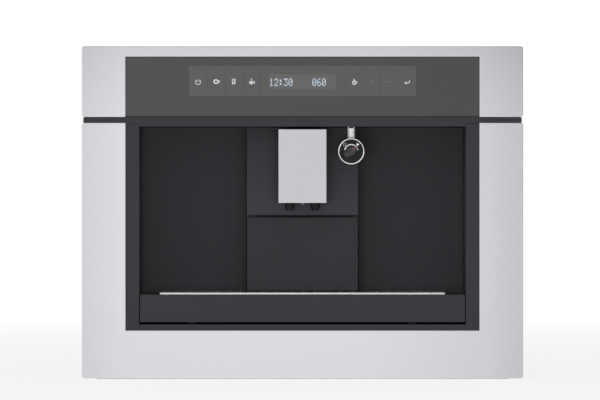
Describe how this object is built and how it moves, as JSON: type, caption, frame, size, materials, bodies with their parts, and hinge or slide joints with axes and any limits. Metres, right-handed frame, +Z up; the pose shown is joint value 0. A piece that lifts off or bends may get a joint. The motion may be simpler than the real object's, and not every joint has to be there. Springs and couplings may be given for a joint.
{
  "type": "built-in coffee machine",
  "caption": "Built-in bean-to-cup coffee machine: steel fascia, glass control panel, cup niche with spout, steam outlet, drip tray and grounds container, on a pull-out cabinet support.",
  "frame": {"origin": "centre of the footprint, on the cabinet floor that the support lies on", "axes": "+X to the right seen from the front, +Y into the cabinet, +Z up; the fascia faces -Y"},
  "size_m": [0.595, 0.4, 0.45],
  "materials": {
    "stainless": "fine brushed stainless steel",
    "polished_steel": "polished",
    "control_glass": "back-painted dark grey glass, gloss",
    "dark_moulding": "fine satin moulding",
    "black_plastic": "satin",
    "zinc_sheet": "zinc-plated sheet, dull",
    "bright_steel": "turned steel",
    "white_plastic": "natural white moulding",
    "clear_plastic": "clear grey moulding",
    "grey_lid": "satin",
    "aluminium_cast": "as cast",
    "silicone": "milky silicone",
    "board_green": "solder resist",
    "lens": "translucent"
  },
  "bodies": {
    "support": {"support_base": "zinc_sheet", "outer_rails": "zinc_sheet"},
    "rail_carriers": {"middle_rails": "zinc_sheet"},
    "spout": {"spout_slider": "black_plastic", "spout_body": "black_plastic", "spout_cover": "stainless", "spout_nozzles": "black_plastic", "cup_light": "lens"},
    "steam_head": {"steam_drum": "black_plastic", "steam_ring": "polished_steel", "steam_dial": "black_plastic"},
    "steam_lever": {"steam_knob": "black_plastic"},
    "tray": {"drip_tray": "dark_moulding"},
    "grille": {"cup_grille": "polished_steel"},
    "container": {"grounds_container": "dark_moulding"},
    "tank": {"water_tank": "clear_plastic"},
    "tank_cover": {"tank_lid": "grey_lid"},
    "hopper_cover": {"hopper_lid": "grey_lid"},
    "powder_cover": {"powder_lid": "grey_lid"},
    "grind_setting": {"grind_knob": "black_plastic"},
    "burr": {"burr_rotor": "bright_steel"},
    "piston": {"brew_piston": "white_plastic"},
    "spindle": {"brew_spindle": "bright_steel"},
    "rocker": {"switch_rocker": "black_plastic"},
    "machine": {"fascia_upper": "stainless", "fascia_lower": "stainless", "steam_stem": "polished_steel", "control_glass": "control_glass", "groove_beam": "dark_moulding", "niche_cheeks": "dark_moulding", "niche_sill": "dark_moulding", "niche_backs": "dark_moulding", "column_cover": "dark_moulding", "panel_carrier": "black_plastic", "mains_inlet": "black_plastic", "container_bay": "black_plastic", "brew_motor": "black_plastic", "base_pan": "zinc_sheet", "side_panel_left": "zinc_sheet", "side_panel_right": "zinc_sheet", "rear_panel": "zinc_sheet", "top_cover": "zinc_sheet", "front_frame": "zinc_sheet", "bulkhead": "zinc_sheet", "spout_bracket": "zinc_sheet", "inner_rails": "zinc_sheet", "spout_guides": "bright_steel", "case_screws": "bright_steel", "grinder_motor": "bright_steel", "brew_frame": "white_plastic", "brew_chamber": "white_plastic", "tank_well": "white_plastic", "grinder_housing": "white_plastic", "powder_funnel": "white_plastic", "pump": "white_plastic", "bean_hopper": "clear_plastic", "boiler": "aluminium_cast", "hoses": "silicone", "power_board": "board_green", "display_board": "board_green"}
  },
  "joints": [
    {"name": "pull_out", "type": "slide", "parent": "support", "child": "machine", "axis": [0, -1, 0], "range_m": [0, 0.32]},
    {"name": "rail_follow", "type": "slide", "parent": "support", "child": "rail_carriers", "axis": [0, -1, 0], "range_m": [0, 0.16]},
    {"name": "spout_height", "type": "slide", "parent": "machine", "child": "spout", "axis": [0, 0, 1], "range_m": [-0.038, 0]},
    {"name": "steam_swivel", "type": "hinge", "parent": "machine", "child": "steam_head", "pos_m": [0.066, -0.17, 0.3085], "axis": [0, 0, 1], "range_deg": [-45, 45]},
    {"name": "steam_valve", "type": "hinge", "parent": "steam_head", "child": "steam_lever", "pos_m": [0.066, -0.187, 0.3085], "axis": [0, -1, 0], "range_deg": [0, 110]},
    {"name": "tray_out", "type": "slide", "parent": "machine", "child": "tray", "axis": [0, -1, 0], "range_m": [0, 0.1]},
    {"name": "grille_lift", "type": "slide", "parent": "tray", "child": "grille", "axis": [0, 0, -1], "range_m": [-0.03, 0]},
    {"name": "container_out", "type": "slide", "parent": "machine", "child": "container", "axis": [0, -1, 0], "range_m": [0, 0.19]},
    {"name": "tank_lift", "type": "slide", "parent": "machine", "child": "tank", "axis": [0, 0, 1], "range_m": [0, 0.25]},
    {"name": "tank_lid_hinge", "type": "hinge", "parent": "tank", "child": "tank_cover", "pos_m": [-0.195, 0.1739, 0.4274], "axis": [-1, 0, 0], "range_deg": [0, 95]},
    {"name": "hopper_lid_hinge", "type": "hinge", "parent": "machine", "child": "hopper_cover", "pos_m": [0.035, 0.1885, 0.4408], "axis": [-1, 0, 0], "range_deg": [0, 95]},
    {"name": "powder_lid_hinge", "type": "hinge", "parent": "machine", "child": "powder_cover", "pos_m": [-0.015, 0.0055, 0.4408], "axis": [-1, 0, 0], "range_deg": [0, 95]},
    {"name": "grind_set", "type": "hinge", "parent": "machine", "child": "grind_setting", "pos_m": [0.15, 0.1, 0.4372], "axis": [0, 0, 1], "range_deg": [-60, 60]},
    {"name": "burr_spin", "type": "hinge", "parent": "machine", "child": "burr", "pos_m": [0.03, 0.118, 0.3], "axis": [0, 0, 1], "continuous": true},
    {"name": "piston_travel", "type": "slide", "parent": "machine", "child": "piston", "axis": [0, 0, 1], "range_m": [0, 0.022]},
    {"name": "spindle_turn", "type": "hinge", "parent": "machine", "child": "spindle", "pos_m": [0.038, -0.025, 0.3], "axis": [0, 0, 1], "range_deg": [0, 1000]},
    {"name": "mains_rocker", "type": "hinge", "parent": "machine", "child": "rocker", "pos_m": [0.1853, 0.1915, 0.06], "axis": [1, 0, 0], "range_deg": [-7, 7]}
  ],
  "couplings": [
    {"joint": "rail_follow", "follows": "pull_out", "ratio": 0.5},
    {"joint": "spindle_turn", "follows": "piston_travel", "rad_per_m": 785.4}
  ]
}
